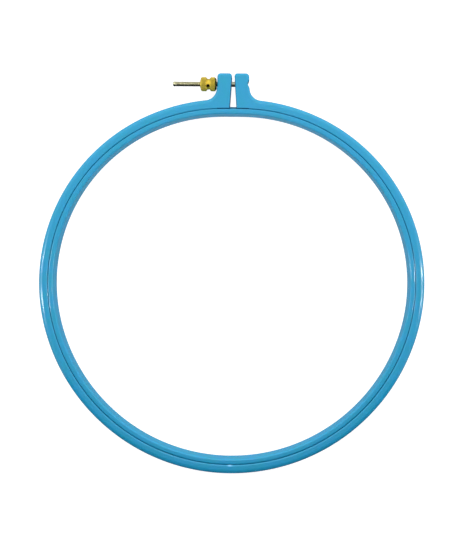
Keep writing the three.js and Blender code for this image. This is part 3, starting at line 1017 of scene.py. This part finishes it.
# Where it is seen the floor is white with the object's shadow, in reflections it is grey, and for
# the light it gives it is a pale sheet. A camera under it sees through.
def makeFloor():
    half = studio["floorHalf"]
    corners = np.array([[-half, -half], [half, -half], [half, half], [-half, half]])
    points = np.column_stack([corners, np.full(len(corners), -studio["floorDrop"])])
    floor = newObject("floor", points, [[0, 1, 2, 3]])
    material = bpy.data.materials.new("floorWhite")
    material.use_nodes = True
    tree = material.node_tree
    tree.nodes.clear()
    path = addNode(tree, "ShaderNodeLightPath").outputs
    lit = addShaders(tree, mattOf(tree, studio["floorGrey"]), glowOf(tree, studio["floorGlow"]))
    bright = addShaders(tree, glowOf(tree, studio["ownWhite"]), mattOf(tree, studio["shadowGrey"]))
    face = mixShaders(tree, seenOf(tree, path), lit, bright)
    face = mixShaders(tree, path["Is Glossy Ray"], face, glowOf(tree, studio["mirroredWhite"]))
    isBelow = addNode(tree, "ShaderNodeNewGeometry").outputs["Backfacing"]
    seenFromBelow = mathOf(tree, "MULTIPLY", path["Is Camera Ray"], isBelow)
    clear = addNode(tree, "ShaderNodeBsdfTransparent").outputs[0]
    face = mixShaders(tree, seenFromBelow, face, clear)
    addNode(tree, "ShaderNodeOutputMaterial", {"Surface": face})
    floor.data.materials.append(material)


def skyOf(tree, strength, value):
    return addNode(tree, "ShaderNodeBackground", {"Color": grey(value), "Strength": strength}).outputs[0]


# White where it is seen. As a light its strength is middle + rise * Y of the direction and at least
# 0, with one pair for the sides and another overhead.
def makeWorld():
    world = bpy.data.worlds.new("studio")
    bpy.context.scene.world = world
    world.use_nodes = True
    tree = world.node_tree
    tree.nodes.clear()
    path = addNode(tree, "ShaderNodeLightPath").outputs
    direction = addNode(tree, "ShaderNodeTexCoord").outputs["Generated"]
    split = addNode(tree, "ShaderNodeSeparateXYZ", {"Vector": direction}).outputs
    sides, overhead = (rangeOf(tree, split["Y"], 0.0, middle + rise, -middle / rise, 1.0)
                       for middle, rise in (studio["skyLow"], studio["skyTop"]))
    share = rangeOf(tree, split["Z"], 0.0, 1.0, *studio["skyTurn"])
    strength = addNode(tree, "ShaderNodeMix", {0: share, 2: sides, 3: overhead}).outputs[0]
    light, white = skyOf(tree, strength, studio["skyGrey"]), skyOf(tree, 1.0, 1.0)
    sky = mixShaders(tree, seenOf(tree, path), light, white)
    addNode(tree, "ShaderNodeOutputWorld", {"Surface": sky})


# Rows at the card's foot and top, each (reach * sin(turn), reach * cos(turn), height)
def makeCard():
    turn = np.radians(np.linspace(*studio["cardSpan"], studio["cardColumns"]))
    rows = [np.stack([reach * np.sin(turn), reach * np.cos(turn), height + 0 * turn], -1)
            for reach, height in studio["cardEdges"]]
    card = newObject("darkCard", np.concatenate(rows), gridFaces(len(rows), len(turn), False, False))
    card.visible_camera = False
    material, _, _ = startMaterial("cardDark", {
        "Base Color": grey(studio["cardGrey"]), "Roughness": 1.0, "Specular IOR Level": 0.0})
    card.data.materials.append(material)


# Lamps: places and sizes in metres, powers in watts. Some light the surfaces without showing in
# them, and others only show in them.
lamps = {
    "keyLamp": {"place": (0.0, 0.75, 1.10), "size": (0.5, 0.3), "power": 7.5, "glossy": False},
    "fillLamp": {"place": (0.0, -0.70, 0.55), "size": (0.5, 0.2), "power": 0.9, "glossy": False},
    "coolLamp": {"place": (0.0, -0.18, 0.50), "size": (0.2, 0.1), "power": 0.36,
                 "colour": (0.40, 0.68, 1.0), "glossy": False},
    "rearPanel": {"place": (0.0, -0.80, 0.75), "size": (0.9, 0.35), "power": 1.0, "diffuse": False},
    "ceilingLamp": {"place": (-0.01, 0.09, 0.62), "size": (0.16, 0.04), "power": 0.08},
}

# Lamps at each side: a panel, and two pairs of a window far off and a strip nearer. The pairs give
# how far towards +Y each stands, and its power.
sideLamps = {
    "Panel": {"distance": 0.95, "height": 0.65, "size": (0.24, 0.24), "power": 0.3},
    "Window": {"distance": 0.94, "height": 0.65, "size": (0.025, 0.24)},
    "Strip": {"distance": 0.60, "height": 0.60, "size": (0.025, 0.12)},
    "left": (((0.030, 0.26), (0.055, 0.60)), ((-0.112, 0.92), (-0.094, 0.95))),
    "right": (((0.022, 1.15), (0.012, 0.85)), ((-0.122, 0.64), (-0.102, 0.48))),
}


# Rectangular lamp that shines at the middle of the frame and isn't seen by itself
def addLamp(name, place, size, power, colour=(1, 1, 1), diffuse=True, glossy=True):
    light = bpy.data.lights.new(name, "AREA")
    light.shape, light.size, light.size_y = "RECTANGLE", size[0], size[1]
    light.energy, light.color = power, colour
    lamp = bpy.data.objects.new(name, light)
    bpy.context.scene.collection.objects.link(lamp)
    lamp.location = place
    lamp.rotation_euler = (-Vector(place)).to_track_quat("-Z", "Y").to_euler()
    lamp.visible_camera = False
    lamp.visible_diffuse = diffuse
    lamp.visible_glossy = glossy


def addSideLamps(name, side):
    panel = sideLamps["Panel"]
    addLamp(name + "Panel", (side * panel["distance"], 0.0, panel["height"]), panel["size"], panel["power"])
    for number, pair in enumerate(sideLamps[name]):
        for kind, (y, power) in zip(("Window", "Strip"), pair):
            form = sideLamps[kind]
            place = (side * form["distance"], y, form["height"])
            addLamp(f"{name}{kind}{number}", place, form["size"], power, diffuse=False)


makeFloor()
makeWorld()
makeCard()
for lampName, lampSettings in lamps.items():
    addLamp(lampName, **lampSettings)
addSideLamps("left", -1)
addSideLamps("right", 1)


# Camera straight above, at the distance that the rings' perspective gives
view = {
    "distance": 500.0,                 # to the top of the rings
    "pixel": 0.688,                    # millimetres of that plane
    "picture": (475, 550),
    "ringMiddle": (231.65, 280.31),    # pixels
    "axis": (252.0, 263.0),            # pixels: the photograph is cropped off its optical axis
    "roll": math.radians(0.45),
    "sensor": 36.0,
    "clip": (0.01, 20),                # metres
}


def makeCamera():
    width, height = view["picture"]
    axisX, axisY = view["axis"]
    middleX, middleY = view["ringMiddle"]
    data = bpy.data.cameras.new("camera")
    data.sensor_width = view["sensor"]
    data.lens = view["sensor"] * view["distance"] / (view["pixel"] * height)
    data.shift_x = (width / 2 - axisX) / height
    data.shift_y = (axisY - height / 2) / height
    data.clip_start, data.clip_end = view["clip"]
    camera = bpy.data.objects.new("camera", data)
    bpy.context.scene.collection.objects.link(camera)
    x, y = turnedPair((axisX - middleX) * view["pixel"], (middleY - axisY) * view["pixel"], view["roll"])
    camera.location = (x * mm, (y + ringY) * mm, (view["distance"] + layout["top"]) * mm)
    camera.rotation_euler = (0, 0, view["roll"])
    bpy.context.scene.camera = camera


makeCamera()
bpy.context.scene.view_settings.view_transform = "Standard"
print("studio and camera: set")
